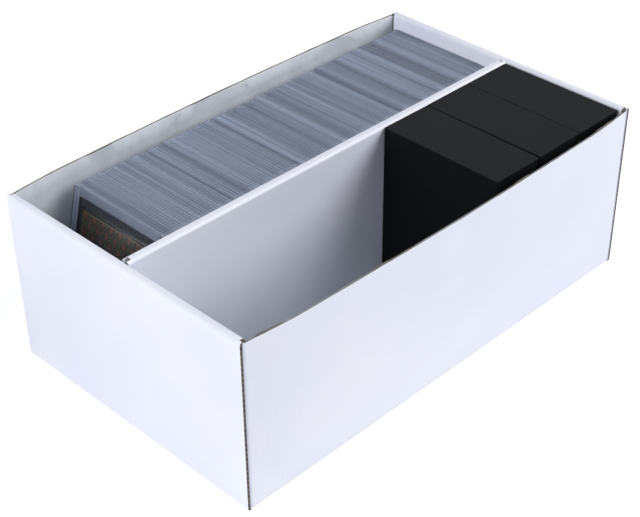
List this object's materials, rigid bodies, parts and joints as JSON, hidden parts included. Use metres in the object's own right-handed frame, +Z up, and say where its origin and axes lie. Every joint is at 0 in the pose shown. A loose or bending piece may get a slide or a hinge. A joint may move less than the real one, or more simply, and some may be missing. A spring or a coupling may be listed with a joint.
{
  "type": "trading card drawer box",
  "caption": "Open white cardboard drawer with two lanes: a leaning row of cards in clear rigid holders, and black lidded cases beside an empty stretch.",
  "frame": {"origin": "middle of the drawer's footprint, on the surface it stands on", "axes": "+Y along the lanes, away from the end where the row of card holders starts; +Z up; the empty lane is on the +X side"},
  "size_m": [0.1952, 0.312, 0.11],
  "materials": {
    "white_board": "coated white, slightly satin",
    "clear_holder": "clear stiff plastic",
    "dark_sleeve": "soft film",
    "card_stock": "coated card",
    "black_case_board": "matt black wrap"
  },
  "bodies": {
    "drawer": {"drawer_sheet": "white_board", "holder_pack_12": "clear_holder", "card_pack_12": "card_stock"},
    "divider": {"divider": "white_board"},
    "front_holder": {"front_holder": "clear_holder"},
    "front_card": {"front_sleeve": "dark_sleeve", "front_card": "card_stock"},
    "pack_01": {"holder_pack_01": "clear_holder", "card_pack_01": "card_stock"},
    "pack_02": {"holder_pack_02": "clear_holder", "card_pack_02": "card_stock"},
    "pack_03": {"holder_pack_03": "clear_holder", "card_pack_03": "card_stock"},
    "pack_04": {"holder_pack_04": "clear_holder", "card_pack_04": "card_stock"},
    "pack_05": {"holder_pack_05": "clear_holder", "card_pack_05": "card_stock"},
    "pack_06": {"holder_pack_06": "clear_holder", "card_pack_06": "card_stock"},
    "pack_07": {"holder_pack_07": "clear_holder", "card_pack_07": "card_stock"},
    "pack_08": {"holder_pack_08": "clear_holder", "card_pack_08": "card_stock"},
    "pack_09": {"holder_pack_09": "clear_holder", "card_pack_09": "card_stock"},
    "pack_10": {"holder_pack_10": "clear_holder", "card_pack_10": "card_stock"},
    "pack_11": {"holder_pack_11": "clear_holder", "card_pack_11": "card_stock"},
    "case_1": {"case_1_tray": "black_case_board"},
    "case_1_lid": {"case_1_lid": "black_case_board"},
    "case_2": {"case_2_tray": "black_case_board"},
    "case_2_lid": {"case_2_lid": "black_case_board"},
    "case_3": {"case_3_tray": "black_case_board"},
    "case_3_lid": {"case_3_lid": "black_case_board"}
  },
  "joints": [
    {"name": "divider_lift", "type": "slide", "parent": "drawer", "child": "divider", "axis": [0, 0, 1], "range_m": [0, 0.115]},
    {"name": "front_holder_lift", "type": "slide", "parent": "drawer", "child": "front_holder", "axis": [0, 0.2588, 0.9659], "range_m": [0, 0.12]},
    {"name": "front_card_pull", "type": "slide", "parent": "front_holder", "child": "front_card", "axis": [0, 0.2588, 0.9659], "range_m": [0, 0.1]},
    {"name": "pack_01_lift", "type": "slide", "parent": "drawer", "child": "pack_01", "axis": [0, 0.2588, 0.9659], "range_m": [0, 0.12]},
    {"name": "pack_02_lift", "type": "slide", "parent": "drawer", "child": "pack_02", "axis": [0, 0.2588, 0.9659], "range_m": [0, 0.12]},
    {"name": "pack_03_lift", "type": "slide", "parent": "drawer", "child": "pack_03", "axis": [0, 0.2588, 0.9659], "range_m": [0, 0.12]},
    {"name": "pack_04_lift", "type": "slide", "parent": "drawer", "child": "pack_04", "axis": [0, 0.2588, 0.9659], "range_m": [0, 0.12]},
    {"name": "pack_05_lift", "type": "slide", "parent": "drawer", "child": "pack_05", "axis": [0, 0.2588, 0.9659], "range_m": [0, 0.12]},
    {"name": "pack_06_lift", "type": "slide", "parent": "drawer", "child": "pack_06", "axis": [0, 0.2588, 0.9659], "range_m": [0, 0.12]},
    {"name": "pack_07_lift", "type": "slide", "parent": "drawer", "child": "pack_07", "axis": [0, 0.2588, 0.9659], "range_m": [0, 0.12]},
    {"name": "pack_08_lift", "type": "slide", "parent": "drawer", "child": "pack_08", "axis": [0, 0.2588, 0.9659], "range_m": [0, 0.12]},
    {"name": "pack_09_lift", "type": "slide", "parent": "drawer", "child": "pack_09", "axis": [0, 0.2588, 0.9659], "range_m": [0, 0.12]},
    {"name": "pack_10_lift", "type": "slide", "parent": "drawer", "child": "pack_10", "axis": [0, 0.2588, 0.9659], "range_m": [0, 0.12]},
    {"name": "pack_11_lift", "type": "slide", "parent": "drawer", "child": "pack_11", "axis": [0, 0.2588, 0.9659], "range_m": [0, 0.12]},
    {"name": "case_1_lift", "type": "slide", "parent": "drawer", "child": "case_1", "axis": [0, 0, 1], "range_m": [0, 0.115]},
    {"name": "case_1_lid_lift", "type": "slide", "parent": "case_1", "child": "case_1_lid", "axis": [0, 0, 1], "range_m": [0, 0.108]},
    {"name": "case_2_lift", "type": "slide", "parent": "drawer", "child": "case_2", "axis": [0, 0, 1], "range_m": [0, 0.115]},
    {"name": "case_2_lid_lift", "type": "slide", "parent": "case_2", "child": "case_2_lid", "axis": [0, 0, 1], "range_m": [0, 0.108]},
    {"name": "case_3_lift", "type": "slide", "parent": "drawer", "child": "case_3", "axis": [0, 0, 1], "range_m": [0, 0.115]},
    {"name": "case_3_lid_lift", "type": "slide", "parent": "case_3", "child": "case_3_lid", "axis": [0, 0, 1], "range_m": [0, 0.108]}
  ]
}
